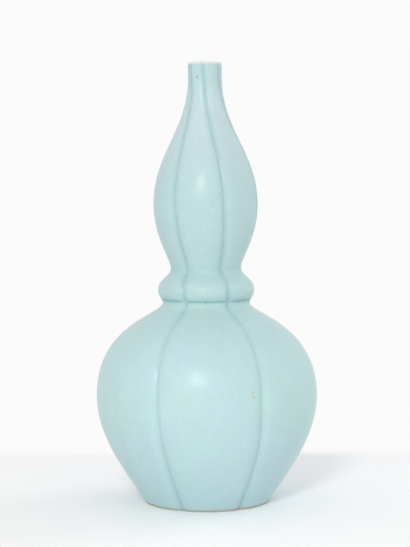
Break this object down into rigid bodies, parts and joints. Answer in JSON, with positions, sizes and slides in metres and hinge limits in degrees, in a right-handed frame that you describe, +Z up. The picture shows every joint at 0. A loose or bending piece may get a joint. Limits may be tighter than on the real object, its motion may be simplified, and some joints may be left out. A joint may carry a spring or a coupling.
{
  "type": "double gourd vase",
  "caption": "Lobed double gourd vase with a scalloped foot, a beaded collar at the waist, leaning grooves and a slim straight neck, for flowers or display.",
  "frame": {"origin": "on the floor at the middle of the foot", "axes": "+Z up along the axis of the vase, -Y towards the front of the pictured view, +X to the viewer's right"},
  "size_m": [0.1611, 0.1616, 0.32],
  "materials": {
    "celadon_glaze": "satin",
    "luting_slip": "matte"
  },
  "bodies": {
    "root": {"foot_ring": "celadon_glaze", "base_disc": "celadon_glaze", "lower_bulb_bowl": "celadon_glaze", "lower_bulb_shoulder": "celadon_glaze", "collar_ring": "celadon_glaze", "upper_bulb_bowl": "celadon_glaze", "upper_bulb_shoulder": "celadon_glaze", "neck_mouth": "celadon_glaze", "foot_seam": "luting_slip", "base_seam": "luting_slip", "belly_seam": "luting_slip", "collar_lower_seam": "luting_slip", "collar_upper_seam": "luting_slip", "upper_bulb_seam": "luting_slip", "neck_seam": "luting_slip"}
  },
  "joints": []
}
